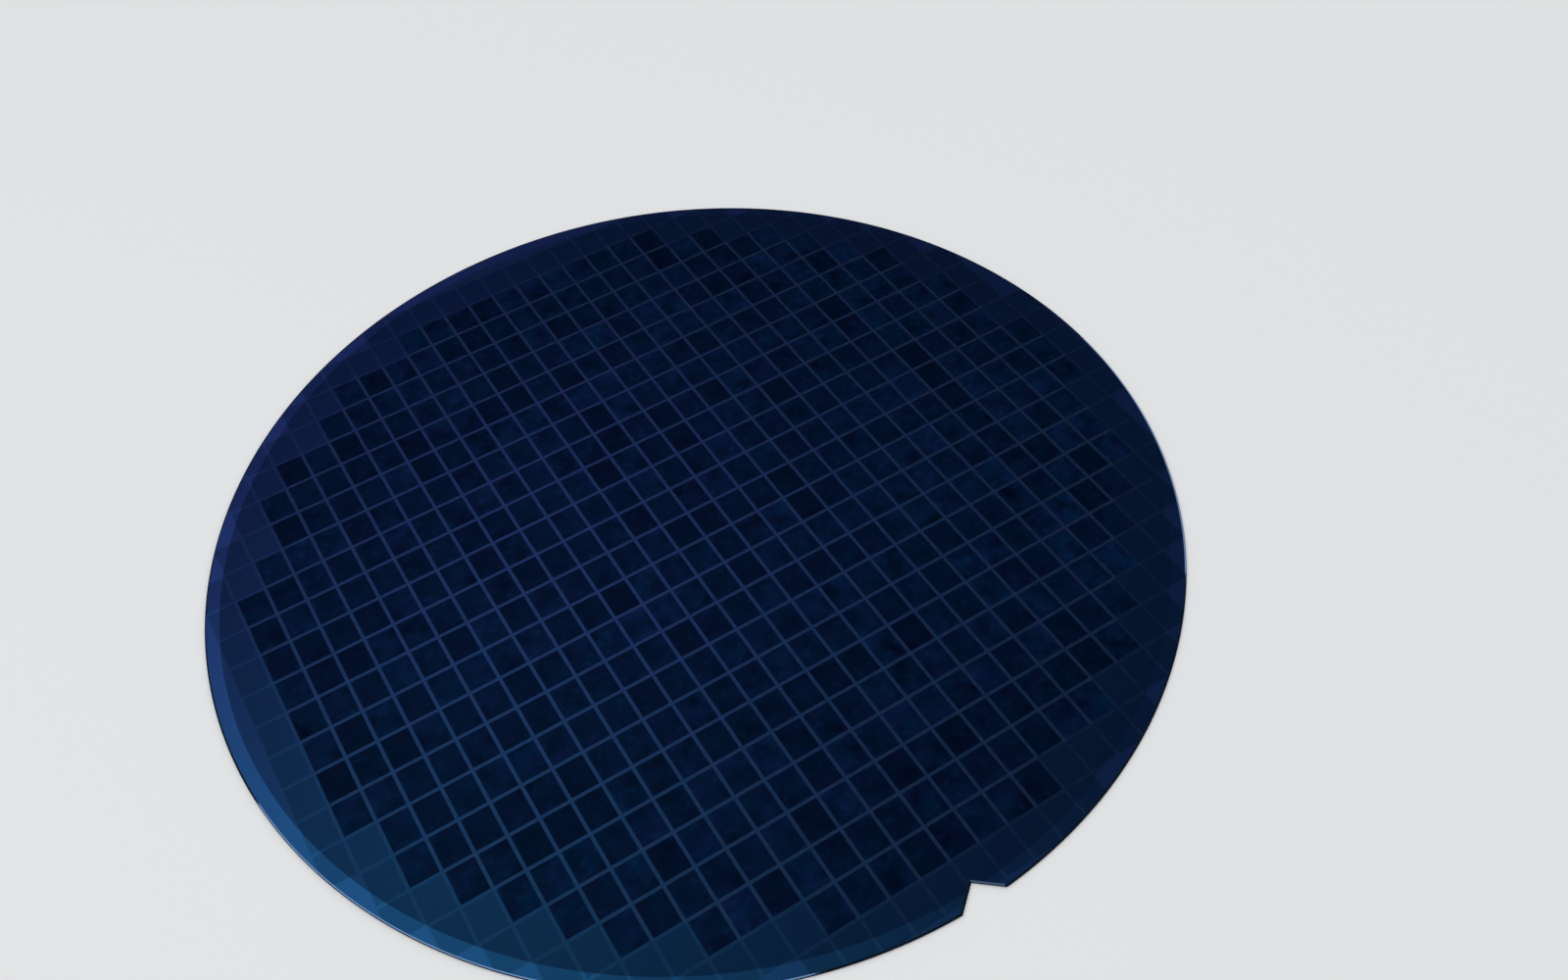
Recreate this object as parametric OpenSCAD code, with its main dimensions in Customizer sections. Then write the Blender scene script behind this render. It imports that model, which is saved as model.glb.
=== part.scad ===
// Silicon wafer with its grid of dies, as it leaves the line before it is sawn up.
// It lies on its back: the origin is the centre of the back face, +Z comes out of the
// printed face, and the orientation notch opens towards -Y. Sizes are in millimetres.

/* [Wafer] */
// Diameter of the disc
wafer_d = 300; // [200:1:300]
// Thickness of the silicon, without the layers printed on it
wafer_t = 0.775; // [0.6:0.005:1.2]

/* [Ground edge] */
// Angle between each face and the bevel ground beside it
bevel_angle = 22; // [15:1:35]
// Height of the upright land between the two bevels
land_h = 0.36; // [0.2:0.01:0.5]

/* [Orientation notch] */
// Depth of the notch, from the full circle of the rim to its point
notch_depth = 6; // [2:0.1:12]
// Angle between the two flanks of the notch
notch_angle = 100; // [60:1:120]
// Height of the upright land between the bevels along the notch, less than at the rim
notch_land_h = 0.3; // [0.1:0.02:0.34]

/* [Dies] */
// Distance from one die to the next along X
pitch_x = 9.37; // [8:0.01:20]
// Distance from one die to the next along Y
pitch_y = 11.58; // [10:0.01:20]
// Width of the saw street between two dies
street_w = 1; // [0.2:0.05:2]
// Where one crossing of two streets lies, from the centre of the disc
grid_shift = [-1.12, 2.53]; // [-6:0.01:6]
// Distance from the rim to the circle that every whole die keeps inside
usable_margin = 8.3; // [4:0.1:20]
// Where the centre of that circle lies, from the centre of the disc
usable_shift = [0.1, -0.4]; // [-3:0.05:3]

/* [Printed layers] */
// Height of the finished layers on a whole die
die_h = 0.02; // [0.01:0.005:0.1]
// Height of the fewer layers on a die that the rim cuts off
part_die_h = 0.01; // [0.005:0.005:0.1]
// Width along the rim that no layer reaches, past the inner edge of the bevel
clear_w = 0.3; // [0.1:0.05:2]

/* [Hidden] */
$fn = 180;

wafer_r = wafer_d / 2;
mid_z = wafer_t / 2;
// Depth that the bevel takes off each face at the rim, and its width on the face
bevel_h = (wafer_t - land_h) / 2;
bevel_w = bevel_h / tan(bevel_angle);
// Width on each face of the bevels along the notch
notch_bevel_w = (wafer_t - notch_land_h) / 2 / tan(bevel_angle);
printed_r = wafer_r - bevel_w - clear_w;
usable_r = wafer_r - usable_margin;

// Streets counted each way from the crossing at grid_shift, enough to pass the rim
streets_x = ceil(wafer_r / pitch_x) + 1;
streets_y = ceil(wafer_r / pitch_y) + 1;

// The crossing of street i with street j, and whether it lies in the usable circle
function crossing(i, j) = grid_shift + [i * pitch_x, j * pitch_y];
function usable(i, j) = norm(crossing(i, j) - usable_shift) <= usable_r;
// How many of a die's corners are usable: 4 for a whole die, 1 to 3 for one cut off by the rim
function usable_corners(i, j) = len([for (a = [i, i + 1], b = [j, j + 1]) if (usable(a, b)) 1]);

sites = [for (i = [-streets_x : streets_x], j = [-streets_y : streets_y]) [i, j, usable_corners(i, j)]];
whole_dies = [for (s = sites) if (s[2] == 4) s];
part_dies = [for (s = sites) if (s[2] > 0 && s[2] < 4) s];

// The bare disc, turned from half of its section
module disc() {
    rotate_extrude()
        polygon([
            [0, 0],
            [wafer_r - bevel_w, 0],
            [wafer_r, bevel_h],
            [wafer_r, wafer_t - bevel_h],
            [wafer_r - bevel_w, wafer_t],
            [0, wafer_t]
        ]);
}

// One block for each of the given dies, from inside the disc up to the top of its layers,
// with half a street left free on every side
module die_blocks(dies, layers_h) {
    translate([0, 0, mid_z])
        linear_extrude(wafer_t + layers_h - mid_z)
            for (d = dies)
                translate(crossing(d.x, d.y) + [street_w, street_w] / 2)
                    square([pitch_x - street_w, pitch_y - street_w]);
}

// All that lies on the open side of one flank of the notch, over the face of its bevel.
// Side is 1 for the flank at +X and -1 for the one at -X.
module over_bevel(side) {
    reach = 4 * notch_depth;
    rotate([0, 0, side * notch_angle / 2])
        translate([side * notch_bevel_w, 0, mid_z])
            rotate([0, -side * bevel_angle, 0])
                translate([-reach, -reach, 0])
                    cube([2 * reach, 2 * reach, reach]);
}

// The notch: an upright V, with bevels along its flanks at the same angle as round the rim.
// Its point is at the origin and mid thickness at height 0.
module notch() {
    reach = 2 * notch_depth;
    linear_extrude(3 * wafer_t, center = true)
        polygon([
            [0, 0],
            [-reach * tan(notch_angle / 2), -reach],
            [reach * tan(notch_angle / 2), -reach]
        ]);
    for (up = [0, 1])
        mirror([0, 0, up])
            intersection() {
                over_bevel(1);
                over_bevel(-1);
            }
}

module wafer() {
    difference() {
        union() {
            color("steelblue")
                disc();
            color("darkslateblue")
                intersection() {
                    die_blocks(part_dies, part_die_h);
                    cylinder(h = 2 * wafer_t, r = printed_r);
                }
            color("midnightblue")
                die_blocks(whole_dies, die_h);
        }
        color("steelblue")
            translate([0, notch_depth - wafer_r, mid_z])
                notch();
    }
}

wafer();
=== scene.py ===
import math

import bpy
import numpy as np
from mathutils import Matrix, Quaternion, Vector
from mathutils.geometry import delaunay_2d_cdt


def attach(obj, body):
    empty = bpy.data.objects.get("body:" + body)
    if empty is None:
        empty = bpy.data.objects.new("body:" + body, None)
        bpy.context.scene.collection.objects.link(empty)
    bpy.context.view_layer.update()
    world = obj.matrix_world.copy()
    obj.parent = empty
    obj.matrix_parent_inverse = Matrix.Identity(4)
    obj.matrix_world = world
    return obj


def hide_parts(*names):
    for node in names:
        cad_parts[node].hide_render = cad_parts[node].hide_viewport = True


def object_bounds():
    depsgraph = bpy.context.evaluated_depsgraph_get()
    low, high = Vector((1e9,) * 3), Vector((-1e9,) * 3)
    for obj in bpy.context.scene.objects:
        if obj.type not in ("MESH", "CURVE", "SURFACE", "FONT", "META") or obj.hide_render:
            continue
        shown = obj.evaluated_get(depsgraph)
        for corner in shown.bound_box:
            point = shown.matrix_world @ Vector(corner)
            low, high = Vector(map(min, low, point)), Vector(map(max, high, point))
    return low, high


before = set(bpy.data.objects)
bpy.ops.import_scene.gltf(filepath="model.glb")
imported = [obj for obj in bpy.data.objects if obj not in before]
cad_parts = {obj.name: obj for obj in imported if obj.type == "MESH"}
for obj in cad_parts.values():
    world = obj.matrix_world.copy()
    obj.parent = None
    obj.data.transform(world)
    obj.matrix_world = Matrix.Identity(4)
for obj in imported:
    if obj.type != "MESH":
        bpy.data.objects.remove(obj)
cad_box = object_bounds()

# ---- The view ------------------------------------------------------------------------
# The camera stands over the rim, left of the notch, and looks down across the printed
# face, slightly rolled. It is so close that a short stretch of the near rim is cut off.
mm = 0.001
view_heading = math.radians(28.81)
view_dip = math.radians(50.15)
view_roll = math.radians(-3.92)
view_distance = 450.6 * mm
view_target = Vector((28.95 * mm, -6.51 * mm, cad_box[1].z))
lens_in_mm = 32.78
sensor_w_in_mm = 36

sight = Vector((
    math.sin(view_heading) * math.cos(view_dip),
    math.cos(view_heading) * math.cos(view_dip),
    -math.sin(view_dip),
))
camera = bpy.data.objects.new("camera", bpy.data.cameras.new("camera"))
camera.data.lens = lens_in_mm
camera.data.sensor_width = sensor_w_in_mm
camera.location = view_target - sight * view_distance
camera.rotation_mode = "QUATERNION"
camera.rotation_quaternion = sight.to_track_quat("-Z", "Y") @ Quaternion((0, 0, 1), view_roll)
bpy.context.scene.collection.objects.link(camera)
bpy.context.scene.camera = camera
bpy.context.scene.view_settings.view_transform = "Standard"


# ---- The disc and its ground edge ----------------------------------------------------
# A slice of a silicon crystal, ground round and cut in at -Y with a V notch. A diamond
# wheel has ground a bevel on both sides of the rim and of the notch's flanks, and rounded
# the nose between them. The edge is then polished, and its colour is painted dark as shade.
rim_r = cad_box[1].y
die_h = 0.02 * mm
wafer_t = cad_box[1].z - die_h
notch_depth = 6 * mm
notch_half = math.radians(50)
bevel_angle = math.radians(22)
land_h = 0.36 * mm
notch_land_h = 0.3 * mm
bevel_w = (wafer_t - land_h) / 2 / math.tan(bevel_angle)
notch_bevel_w = (wafer_t - notch_land_h) / 2 / math.tan(bevel_angle)
rim_points = 720
flank_points = 12
nose_steps = 12
flat_share = 0.9


def outline(rim_inset, flank_inset):
    """The plan of the rim, moved inwards, as points anticlockwise from the notch's right lip.
    An arc of radius rim_r - rim_inset runs from lip to lip, and straight flanks run from the
    left lip to the point and back to the right lip. A flank meets the arc where a line from
    the point at notch_half to -Y is that radius from the centre. Its points lie closer
    together towards its ends, by the cosine."""
    radius = rim_r - rim_inset
    point_y = notch_depth - rim_r + flank_inset / math.sin(notch_half)
    along = np.array([math.sin(notch_half), -math.cos(notch_half)])
    half_b = point_y * along[1]
    reach = -half_b + math.sqrt(half_b**2 - point_y**2 + radius**2)
    lip = np.array([0, point_y]) + reach * along
    opening = math.atan2(lip[0], -lip[1])
    angle = np.linspace(opening - math.pi / 2, 1.5 * math.pi - opening, rim_points)
    arc = radius * np.stack([np.cos(angle), np.sin(angle)], 1)
    share = (1 - np.cos(np.linspace(0, math.pi, flank_points + 1)[1:, None])) / 2
    point = np.array([[0, point_y]])
    left = (1 - share) * arc[-1:] + share * point
    right = (1 - share[:-1]) * point + share[:-1] * arc[:1]
    return np.concatenate([arc, left, right])


def inland(x, y):
    """How far a place lies inwards from the border of the printed face: the lesser of its
    distance from the rim less the rim's bevel, and its distance from the nearer flank's line
    less the flank's bevel."""
    from_rim = rim_r - bevel_w - np.hypot(x, y)
    from_flank = np.abs(x) * math.cos(notch_half) + (y - notch_depth + rim_r) * math.sin(notch_half)
    return np.minimum(from_rim, from_flank - notch_bevel_w)


def edge_section(land):
    """The section of the edge from the printed face to the back, as insets and heights. Two
    bevels touch a nose circle whose radius makes it reach the full rim:
    land / 2 * cos(bevel) / (1 - sin(bevel)). A ring at flat_share of each bevel's width keeps
    its shading flat up to there."""
    nose_r = land / 2 * math.cos(bevel_angle) / (1 - math.sin(bevel_angle))
    angle = np.linspace(1, -1, nose_steps + 1) * (math.pi / 2 - bevel_angle)
    face_inset = (wafer_t - land) / 2 / math.tan(bevel_angle)
    inset = np.r_[face_inset, nose_r * (1 - np.cos(angle)), face_inset]
    height = np.r_[wafer_t, wafer_t / 2 + nose_r * np.sin(angle), 0]
    corner = np.arange(len(inset))
    ring = np.r_[0, flat_share, corner[1:-1], corner[-1] - flat_share, corner[-1]]
    return np.interp(ring, corner, inset), np.interp(ring, corner, height)


def edge_ring(rim_inset, rim_height, flank_inset, flank_height):
    """One closed line round the edge, with its height on the rim and along the flanks."""
    plan = outline(rim_inset, flank_inset)
    on_rim = np.arange(len(plan)) < rim_points
    return np.column_stack([plan, np.where(on_rim, rim_height, flank_height)])


sections = zip(*edge_section(land_h), *edge_section(notch_land_h))
edge_rings = [edge_ring(*inset_and_height) for inset_and_height in sections]
ring_count, ring_size = len(edge_rings), len(edge_rings[0])
edge_points = np.concatenate(edge_rings)


def band_faces(rings, size):
    """Quads between each closed ring of size points and the next one, numbered in order."""
    here = np.arange(size)
    start = size * np.arange(rings - 1)[:, None]
    after = (here + 1) % size
    corners = [start + here, start + size + here, start + size + after, start + after]
    return np.stack(corners, -1).reshape(-1, 4)


edge_faces = band_faces(ring_count, ring_size)


def has_parts(value):
    """Whether a value has three components: a Vector, or a Term of a colour or a vector."""
    return isinstance(value, Vector) or (isinstance(value, Term) and value.is_vector)


class Term:
    """A value, colour or vector in a material. +, -, * and / on it add a Math node, or a
    Vector Math node where either side has three components."""

    def __init__(self, finish, socket):
        self.finish = finish
        self.socket = socket
        self.is_vector = socket.type in ("VECTOR", "RGBA")

    def combine(self, operation, first, second):
        """The node for one operator. A number beside a vector counts for all its parts."""
        if not (has_parts(first) or has_parts(second)):
            return self.finish.node("Math", {"operation": operation}, first, second)
        spread = [Vector((v, v, v)) if isinstance(v, (int, float)) else v for v in (first, second)]
        return self.finish.node("VectorMath", {"operation": operation}, *spread)

    def __add__(self, other):
        return self.combine("ADD", self, other)

    def __radd__(self, other):
        return self.combine("ADD", other, self)

    def __sub__(self, other):
        return self.combine("SUBTRACT", self, other)

    def __rsub__(self, other):
        return self.combine("SUBTRACT", other, self)

    def __mul__(self, other):
        return self.combine("MULTIPLY", self, other)

    def __rmul__(self, other):
        return self.combine("MULTIPLY", other, self)

    def __truediv__(self, other):
        return self.combine("DIVIDE", self, other)


class Finish:
    """A material in the making: node() adds one node to it, and maths on terms adds more."""

    def __init__(self, name):
        self.material = bpy.data.materials.new(name)
        self.material.use_nodes = True
        self.tree = self.material.node_tree
        self.surface = self.tree.nodes["Principled BSDF"]

    def node(self, kind, settings, *values, output=0, **named):
        """Adds a node of that kind, sets its settings, then the values or links of its
        sockets in order and by name, and gives one of its outputs as a Term."""
        made = self.tree.nodes.new("ShaderNode" + kind)
        for setting, value in settings.items():
            setattr(made, setting, value)
        shown = [socket for socket in made.inputs if socket.enabled]
        named_sockets = [(made.inputs[name.replace("_", " ")], v) for name, v in named.items()]
        for socket, value in [*zip(shown, values), *named_sockets]:
            self.put(socket, value)
        return Term(self, [socket for socket in made.outputs if socket.enabled][output])

    def put(self, socket, value):
        """Links a Term to a socket, or sets the socket to a number, vector or colour."""
        if isinstance(value, Term):
            self.tree.links.new(value.socket, socket)
        else:
            socket.default_value = (*value, 1.0) if socket.type == "RGBA" else value

    def place(self):
        """The place on the piece in metres, which is the node's Object output."""
        return self.node("TexCoord", {}, output=3)

    def step(self, value, low, high):
        """0 below low, 1 above high, and a smooth rise between them."""
        return self.node("MapRange", {"interpolation_type": "SMOOTHSTEP"}, value, low, high)

    def mix(self, share, first, second):
        """first where share is 0 and second where it is 1, for numbers or for colours."""
        kind = "RGBA" if has_parts(first) else "FLOAT"
        return self.node("Mix", {"data_type": kind}, share, first, second)

    def apply(self, **values):
        """Sets sockets of the surface by name, with _ for a space."""
        for name, value in values.items():
            self.put(self.surface.inputs[name.replace("_", " ")], value)


def srgb(red, green, blue):
    """A colour given in screen levels from 0 to 255, made linear."""
    levels = np.array([red, green, blue]) / 255
    linear = np.where(levels <= 0.04045, levels / 12.92, ((levels + 0.055) / 1.055) ** 2.4)
    return Vector(linear)


def between(low, high, share):
    """The value at that share of the way from low to high."""
    return low + share * (high - low)


# A metal's glancing reflection turns white. This tint keeps it near the metal's own colour.
glancing_tint = Vector((0.5, 0.5, 0.5))
# The edge's dark navy is painted shade: polished silicon would mirror the pale studio as a light
# grey, and this dark colour stands for dark surroundings in that mirror. Glints come from the strip
# lamps.
edge_painted_dark = srgb(17, 25, 37)
marks_per_metre = Vector((300, 300, 20000))

ground_edge = Finish("ground_edge")
wheel_marks = ground_edge.node(
    "TexNoise", {}, ground_edge.place() * marks_per_metre, Scale=1.0, Detail=2.0
)
ground_edge.apply(
    Base_Color=between(0.6, 1.4, wheel_marks) * edge_painted_dark,
    Metallic=1.0,
    Roughness=between(0.03, 0.09, wheel_marks),
    Specular_Tint=glancing_tint,
)

# ---- The back face -------------------------------------------------------------------
# The plain polished side that the wafer rests on, the grey of bare silicon. It is a fan of
# triangles from the centre to the lower edge of the bevel.
back_centre = np.array([[0.0, 0.0, 0.0]])
centre_number = len(edge_points)
last_ring = centre_number - ring_size + np.arange(ring_size)
centre_numbers = np.full(ring_size, centre_number)
back_faces = np.stack([centre_numbers, np.roll(last_ring, -1), last_ring], 1)

silicon_grey = srgb(104, 109, 118)
strokes_per_metre = Vector((60, 900, 0))

polished_back = Finish("polished_back")
haze = polished_back.node("TexNoise", {}, polished_back.place(), Scale=14.0, Detail=3.0)
polish = polished_back.node(
    "TexNoise", {}, polished_back.place() * strokes_per_metre, Scale=1.0, Detail=2.0
)
polished_back.apply(
    Base_Color=between(0.85, 1.15, haze) * silicon_grey,
    Metallic=1.0,
    Roughness=between(0.12, 0.24, polish),
)

# ---- The printed face ----------------------------------------------------------------
# Circuits printed die by die in a square grid, with bare saw streets between them. A die
# is finished where all its corners lie in the usable circle. Where only some do, the rim
# cuts it off and it gets fewer layers. Where none does, the silicon stays bare.
pitch = np.array([9.37, 11.58]) * mm
street_w = 1 * mm
grid_shift = np.array([-1.12, 2.53]) * mm
usable_shift = np.array([0.1, -0.4]) * mm
usable_r = 141.7 * mm
part_die_h = 0.01 * mm
clear_w = 0.3 * mm
level_height = wafer_t + np.array([0, part_die_h, die_h])
level_count = len(level_height)
unit_square = np.array([[0, 0], [1, 0], [1, 1], [0, 1]])
merge_gap_in_mm = 1e-5
whole_plane, only_edges = 0, 2


def usable_corners(i, j):
    """How many corners of the die in column i and row j lie in the usable circle."""
    count = 0
    for right, upper in unit_square:
        corner_x = grid_shift[0] + (i + right) * pitch[0] - usable_shift[0]
        corner_y = grid_shift[1] + (j + upper) * pitch[1] - usable_shift[1]
        count = count + (np.hypot(corner_x, corner_y) <= usable_r)
    return count


def level(x, y):
    """The printed level at a place: 2 on a finished die, 1 on a cut-off one, 0 elsewhere."""
    u, v = (x - grid_shift[0]) / pitch[0], (y - grid_shift[1]) / pitch[1]
    i, j = np.floor(u), np.floor(v)
    in_x = np.minimum(u - i, i + 1 - u) * pitch[0] > street_w / 2
    in_y = np.minimum(v - j, j + 1 - v) * pitch[1] > street_w / 2
    corners = usable_corners(i, j)
    printed = in_x & in_y & (inland(x, y) > clear_w)
    return np.where(printed, np.where(corners == 4, 2, np.where(corners > 0, 1, 0)), 0)


def loop_edges(size, first=0):
    """The edges of a closed loop of points that are numbered in order."""
    here = np.arange(size)
    return first + np.stack([here, (here + 1) % size], 1)


def planned(points, edges, wanted):
    """The edges cut where they cross, and where the whole plane is wanted also triangles
    between them, by constrained Delaunay triangulation in millimetres. Gives points, edges,
    triangles and, for each point, the given points that it comes from."""
    places = (points / mm).tolist()
    found = delaunay_2d_cdt(places, edges.tolist(), [], wanted, merge_gap_in_mm)
    return np.array(found[0]) * mm, np.array(found[1]), found[2], found[3]


# Every die with a corner in the usable circle is a rectangle set in by half a street.
across_count, up_count = np.ceil(rim_r / pitch).astype(int) + 1
columns, rows = np.meshgrid(
    np.arange(-across_count, across_count), np.arange(-up_count, up_count), indexing="ij"
)
sites = np.stack([columns, rows], -1)[usable_corners(columns, rows) > 0]
die_corners = (
    grid_shift + (sites[:, None] + unit_square) * pitch + (1 - 2 * unit_square) * street_w / 2
).reshape(-1, 2)
die_edges = (4 * np.arange(len(sites))[:, None, None] + loop_edges(4)).reshape(-1, 2)

# The print ends at clear_w from the bevels, and what the dies have beyond that line goes.
print_limit = outline(bevel_w + clear_w, notch_bevel_w + clear_w)
points = np.concatenate([die_corners, print_limit])
edges = np.concatenate([die_edges, loop_edges(ring_size, len(die_corners))])
points, edges, _, _ = planned(points, edges, only_edges)
middle = points[edges].mean(1)
edges = edges[inland(middle[:, 0], middle[:, 1]) > clear_w / 2]

# The face inside its border is parted along those edges, so each triangle has one level.
face_border = edge_rings[0][:, :2]
points = np.concatenate([face_border, points])
edges = np.concatenate([loop_edges(ring_size), edges + ring_size])
points, _, triangles, sources = planned(points, edges, whole_plane)
triangles = np.array(triangles)
centre = points[triangles].mean(1)
triangles = triangles[inland(centre[:, 0], centre[:, 1]) > 0]
centre = points[triangles].mean(1)
levels = level(centre[:, 0], centre[:, 1])

# A step wall stands on every edge between two triangles of different level.
half_edges = np.stack([triangles, np.roll(triangles, -1, 1)], -1).reshape(-1, 2)
half_level = np.repeat(levels, 3)
key = np.sort(half_edges, 1) @ np.array([len(points), 1])
order = np.argsort(key, kind="stable")
has_twin = key[order[:-1]] == key[order[1:]]
paired = (order[:-1][has_twin], order[1:][has_twin])
walls = []
for low in range(level_count - 1):
    for one, other in (paired, paired[::-1]):
        rises = (half_level[one] <= low) & (half_level[other] > low)
        start, end = level_count * half_edges[one[rises]].T + low
        walls.append(np.stack([end, start, start + 1, end + 1], 1))
walls = np.concatenate(walls)
tops = level_count * triangles + levels[:, None]

# Each place has three points, one for each level. They are numbered after the edge and the
# back's centre, but on its border the face shares the points of the edge's first ring.
face_places = np.repeat(points, level_count, 0)
face_points = np.column_stack([face_places, np.tile(level_height, len(points))])
number = centre_number + 1 + np.arange(len(face_points))
first_source = np.array([source[0] if source else ring_size for source in sources])
on_border = np.flatnonzero(first_source < ring_size)
number[level_count * on_border] = first_source[on_border]

# ---- The films -----------------------------------------------------------------------
# Oxide, nitride and metal lie over the silicon in thin printed layers and show interference
# colours, with a dark blue for each kind of site. Over that lies a painted sheen, reflected
# light painted into the colour: cyan low on the left, violet in the middle, azure right of it,
# most in the rim's ring.
die_blue = srgb(3.4, 16.2, 40)
street_blue = srgb(20.4, 32.7, 56.5)
crossing_blue = srgb(18.8, 34.7, 61.5)
part_die_blue = srgb(7, 19.5, 43)
part_street_blue = srgb(12, 24.3, 47.3)
bare_blue = srgb(13, 25, 56)
die_teal = Vector((0.6, 1.07, 0.97))
die_violet = Vector((1.4, 0.93, 1.03))
street_teal = Vector((0.85, 1.04, 0.99))
street_violet = Vector((1.15, 0.96, 1.01))
cyan_sheen = srgb(4.5, 39, 59)
violet_sheen = srgb(18, 23, 64)
azure_sheen = srgb(1.1, 10.2, 25.1)
ring_w = 4.4 * mm
blur = 0.1 * mm
cloud_shift = 0.1

film = Finish("printed_films")


def rounded_down(vector):
    """A vector with each of its components rounded down."""
    return film.node("VectorMath", {"operation": "FLOOR"}, vector)


def length(vector):
    """The length of a vector, as one number."""
    return film.node("VectorMath", {"operation": "LENGTH"}, vector)


def component(vector, axis):
    """The component of a vector along X, Y or Z, which are axes 0, 1 and 2."""
    return film.node("SeparateXYZ", {}, vector, output=axis)


# The print doesn't depend on height, so places on the face are taken in plan. in_grid counts
# dies from the grid's shift, site is the die at a place, and crossing the nearest crossing.
across, up = Vector((1, 0, 0)), Vector((0, 1, 0))
flat = across + up
on_face = film.place() * flat
in_grid = (on_face - Vector((*grid_shift, 0))) / Vector((*pitch, 1))
site = rounded_down(in_grid)
crossing = rounded_down(in_grid + flat / 2)


def from_usable(grid_place):
    """How far a place in the grid lies from the usable circle's centre, along X and Y."""
    offset = grid_place * Vector((*pitch, 0)) + Vector((*(grid_shift - usable_shift), 0))
    return film.node("VectorMath", {"operation": "ABSOLUTE"}, offset)


def usable(corner):
    """1 where a corner, given from the usable circle's centre, lies in the circle."""
    return film.node("Math", {"operation": "LESS_THAN"}, length(corner), usable_r)


# A block of dies is whole where its corner farthest from the usable circle's centre lies in
# the circle, and a die is printed at all where its nearest corner does.
half_w, half_h = across * pitch[0] / 2, up * pitch[1] / 2
die_middle = from_usable(site + flat / 2)
street_middle = from_usable(crossing)
whole = usable(die_middle + half_w + half_h)
printed = usable(die_middle - half_w - half_h)
whole_beside = usable(street_middle * across + die_middle * up + 2 * half_w + half_h)
whole_above = usable(die_middle * across + street_middle * up + half_w + 2 * half_h)

gap = film.node("VectorMath", {"operation": "ABSOLUTE"}, in_grid - crossing) * Vector((*pitch, 0))
beside_street = film.step(component(gap, 0), street_w / 2 - blur, street_w / 2 + blur)
above_street = film.step(component(gap, 1), street_w / 2 - blur, street_w / 2 + blur)
between_whole = film.node(
    "Math",
    {"operation": "MAXIMUM"},
    (1 - beside_street) * whole_beside,
    (1 - above_street) * whole_above,
)


def by_kind(bare, cut_off_street, cut_off, finished, street):
    """The colour or number for the kind of site at each place, out of one for each kind."""
    die = film.mix(whole, cut_off, finished)
    site_print = film.mix(beside_street * above_street, cut_off_street, die)
    return film.mix(between_whole, film.mix(printed, bare, site_print), street)


# The white noise's second output, a colour, is three chances for each die. They set its
# strength of colour, the depth and place of its soft clouds, and its lean to teal or violet.
chance = film.node("TexWhiteNoise", {}, site, output=1)
die_strength = between(0.6, 1.4, (component(chance, 0) + component(chance, 1)) / 2)
cloud_depth = between(0.8, 2.2, component(chance, 0))
cloud_place = on_face + chance * cloud_shift
cloud = film.node("TexNoise", {}, cloud_place, Scale=170.0, Detail=1.0, Roughness=0.4)
smudge = film.node("TexNoise", {}, cloud_place, Scale=420.0, Detail=0.0)
cloudy = 1 + (cloud - 0.5) * cloud_depth + film.step(smudge, 0.55, 0.85) * 0.5
lean_cloud = film.node("TexNoise", {}, cloud_place + flat, Scale=170.0, Detail=0.5)
die_lean = between(-1.25, 1.75, lean_cloud) + component(chance, 2) * 0.5
die_hue = film.mix(die_lean, die_teal, die_violet)


def circuit_blocks(width, height, depth):
    """Blocks of that size, darker or paler by up to depth, in the same places on each die."""
    in_blocks = (in_grid - site) * Vector((*pitch, 0)) / Vector((width, height, 1)) + flat / 4
    paleness = film.node("TexWhiteNoise", {}, rounded_down(in_blocks))
    return between(1 - depth, 1 + depth, paleness)


coarse_blocks = circuit_blocks(width=2.2 * mm, height=1.7 * mm, depth=0.05)
fine_blocks = circuit_blocks(width=0.3 * mm, height=0.85 * mm, depth=0.06)

# Streets wave in strength and lean to teal or to violet along their way. Bare silicon and
# cut-off dies have a faint haze.
street_wave = between(0.6, 1.4, film.node("TexNoise", {}, on_face, Scale=450.0, Detail=2.0))
lean_wave = film.node("TexNoise", {}, on_face + flat, Scale=350.0, Detail=1.0)
street_lean = between(-1.5, 2.5, lean_wave)
street_hue = film.mix(street_lean, street_teal, street_violet)
at_crossing = (1 - beside_street) * (1 - above_street)
street_colour = film.mix(at_crossing, street_hue * street_blue, crossing_blue)
film_haze = between(0.9, 1.1, film.node("TexNoise", {}, on_face, Scale=70.0, Detail=4.0))
in_ring = film.step(length(on_face), rim_r - ring_w - blur, rim_r - ring_w + blur)


# A patch of painted sheen: reflected light painted into the colour, fading from its centre.
def sheen_patch(centre_x, centre_y, radius):
    """exp(-(d / radius)^2), where d is the distance from the centre, all in rim radii."""
    centre = Vector((centre_x, centre_y, 0)) * rim_r
    far = length(on_face - centre) / (radius * rim_r)
    return film.node("Math", {"operation": "EXPONENT"}, far * far * -1)


print_blue = by_kind(
    bare=film_haze * bare_blue,
    cut_off_street=street_wave * part_street_blue,
    cut_off=film_haze * part_die_blue,
    finished=die_hue * (coarse_blocks * fine_blocks * die_strength * cloudy) * die_blue,
    street=street_colour * street_wave,
)
# The painted sheen is reflected light painted into the colour. Each kind of site takes its own
# share of it, and the ring along the rim takes up to 2.7 times as much.
sheen = (
    sheen_patch(centre_x=-0.8, centre_y=-0.48, radius=0.66) * cyan_sheen
    + sheen_patch(centre_x=-0.36, centre_y=0.16, radius=0.69) * violet_sheen
    + sheen_patch(centre_x=0.25, centre_y=-0.3, radius=0.45) * azure_sheen
)
sheen_gain = by_kind(bare=1.3, cut_off_street=1.3, cut_off=0.94, finished=0.1, street=1.0)
ring_sheen_gain = between(1.0, 2.7, in_ring)
film.apply(
    Base_Color=print_blue + sheen * (sheen_gain * ring_sheen_gain),
    Metallic=0.5,
    Roughness=by_kind(bare=0.22, cut_off_street=0.28, cut_off=0.3, finished=0.34, street=0.26),
    Specular_IOR_Level=0.0,
    Specular_Tint=glancing_tint,
)

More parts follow.
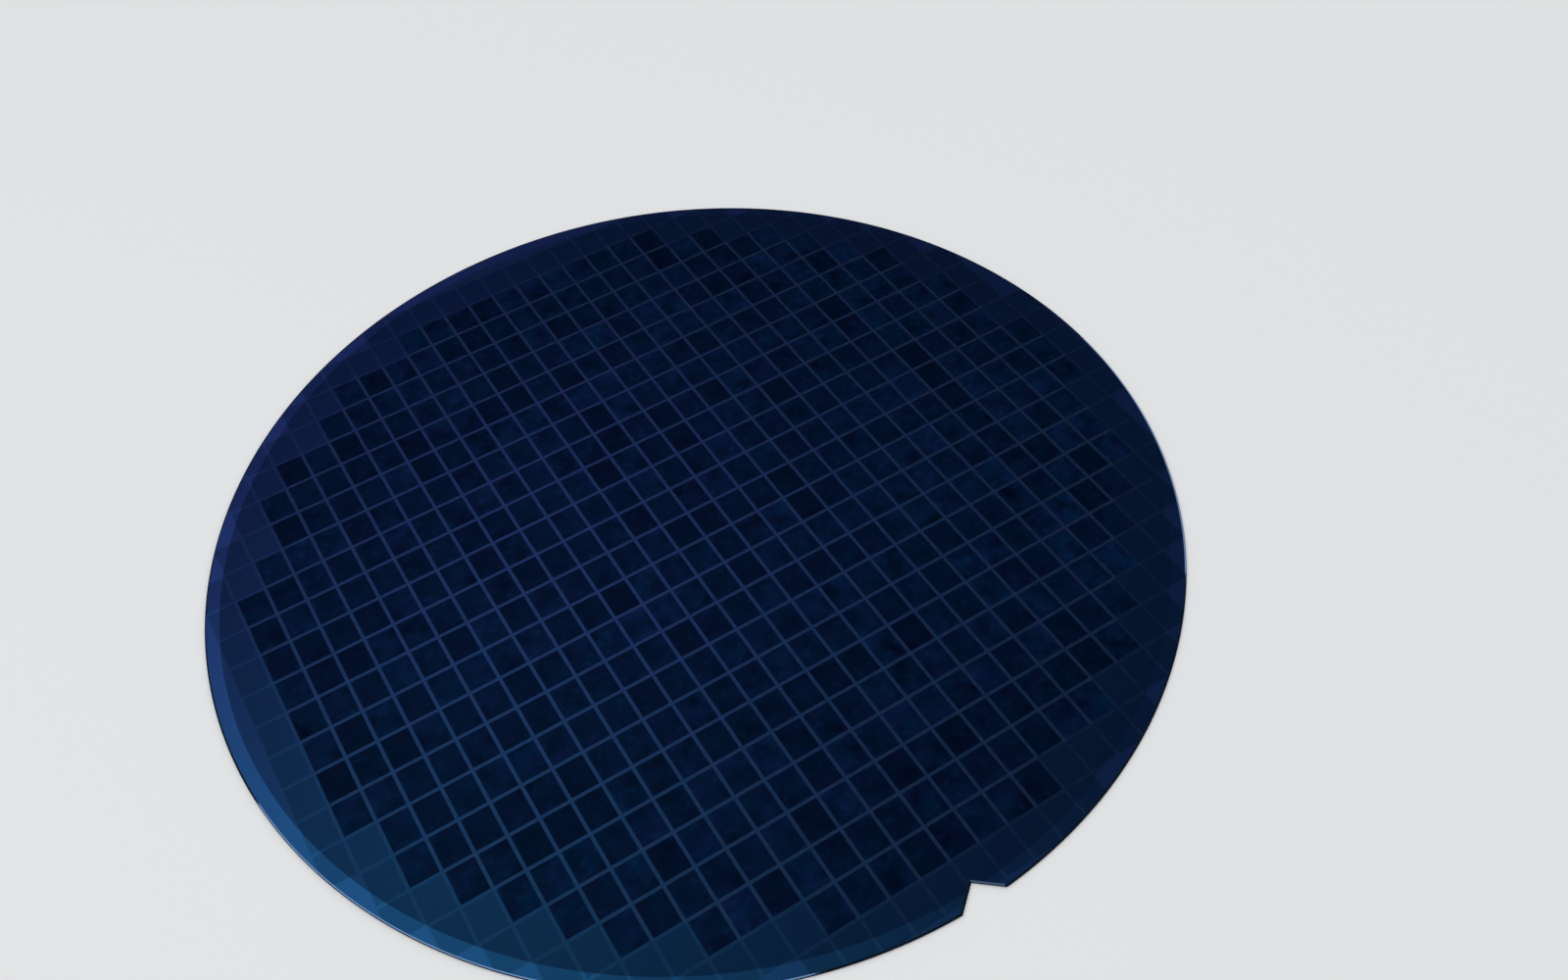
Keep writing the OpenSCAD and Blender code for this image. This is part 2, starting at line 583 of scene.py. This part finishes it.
# ---- The whole wafer -----------------------------------------------------------------
# Edge, back and printed face are one closed piece of silicon. It has a finish for each of
# the three, and rides on the part's only body. An edge that turns by less than smooth_below
# is shaded smooth, such as the steps of the rim and its nose. The notch's corners stay sharp.
smooth_below = math.radians(14)
all_points = np.concatenate([edge_points, back_centre, face_points])
faces = [edge_faces, back_faces, number[tops], number[walls]]
finishes = (film, ground_edge, polished_back)
group_finish = [finishes.index(finish) for finish in (ground_edge, polished_back, film, film)]

# Points that no face uses, such as those of other levels, are left out.
used = np.zeros(len(all_points), bool)
for group in faces:
    used[group] = True
renumber = np.cumsum(used) - 1
face_rows = [row for group in faces for row in renumber[group].tolist()]
mesh = bpy.data.meshes.new("wafer")
mesh.from_pydata(all_points[used], [], face_rows)
face_finish = np.repeat(group_finish, [len(group) for group in faces])
mesh.polygons.foreach_set("material_index", face_finish)
mesh.shade_smooth()
mesh.set_sharp_from_angle(angle=smooth_below)
mesh.validate()
for finish in finishes:
    mesh.materials.append(finish.material)
wafer = bpy.data.objects.new("silicon_wafer", mesh)
bpy.context.scene.collection.objects.link(wafer)
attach(wafer, "root")
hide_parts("wafer")

# ---- Floor and light -----------------------------------------------------------------
# A pale floor under an even sky. Strip lamps hang in two bows, left and right, where the
# rim's upper bevel mirrors them to the camera, and a small one where the notch's bevel does.
floor_half = 6.0
floor_z = -0.01 * mm
floor_pale = Vector((0.74, 0.75, 0.76))
sky_strength = 0.79
lamp_distance = 2.0
strip_w = 0.04
strip_radiance = 30
strip_turn = 8
strip_bows = ((188, 252), (318, 358))
notch_strip_start = Vector((-0.42, -0.66, 1.83))
notch_strip_end = Vector((-0.30, -0.72, 1.85))
notch_strip_w = 0.12
notch_strip_radiance = 8

floor_mesh = bpy.data.meshes.new("floor")
floor_corners = np.column_stack([(2 * unit_square - 1) * floor_half, np.full(4, floor_z)])
floor_mesh.from_pydata(floor_corners, [], [(0, 1, 2, 3)])
floor = bpy.data.objects.new("floor", floor_mesh)
bpy.context.scene.collection.objects.link(floor)
floor_finish = Finish("floor")
floor_finish.apply(Base_Color=floor_pale, Roughness=0.9, Specular_IOR_Level=0.2)
floor_mesh.materials.append(floor_finish.material)

world = bpy.data.worlds.new("studio")
bpy.context.scene.world = world
world.use_nodes = True
sky = world.node_tree.nodes["Background"]
sky.inputs["Color"].default_value = (1.0, 1.0, 1.0, 1.0)
sky.inputs["Strength"].default_value = sky_strength


def mirrored(turn):
    """The place at lamp_distance that the camera sees in the rim's upper bevel, at that turn
    of the rim from +X in degrees: along the line of sight, reflected by the bevel."""
    outwards = Vector((math.cos(math.radians(turn)), math.sin(math.radians(turn)), 0))
    bevel_place = outwards * rim_r
    bevel_faces = outwards * math.sin(bevel_angle) + Vector((0, 0, math.cos(bevel_angle)))
    look = (bevel_place - camera.location).normalized()
    return bevel_place + look.reflect(bevel_faces) * lamp_distance


def hang_strip(name, start, end, width, radiance):
    """A strip lamp between two places, which faces the wafer. Its power is pi * area *
    radiance."""
    middle, along = (start + end) / 2, (end - start).normalized()
    sideways = middle.cross(along).normalized()
    lamp = bpy.data.objects.new(name, bpy.data.lights.new(name, "AREA"))
    lamp.data.shape = "RECTANGLE"
    lamp.data.size = (end - start).length
    lamp.data.size_y = width
    lamp.data.energy = math.pi * (end - start).length * width * radiance
    lamp.location = middle
    turned = Matrix((along, sideways, along.cross(sideways))).transposed()
    lamp.rotation_euler = turned.to_euler()
    bpy.context.scene.collection.objects.link(lamp)


for first_turn, last_turn in strip_bows:
    for turn in range(first_turn, last_turn, strip_turn):
        ends = mirrored(turn), mirrored(turn + strip_turn)
        hang_strip(f"rim_strip_{turn}", *ends, strip_w, strip_radiance)
hang_strip("notch_strip", notch_strip_start, notch_strip_end, notch_strip_w, notch_strip_radiance)
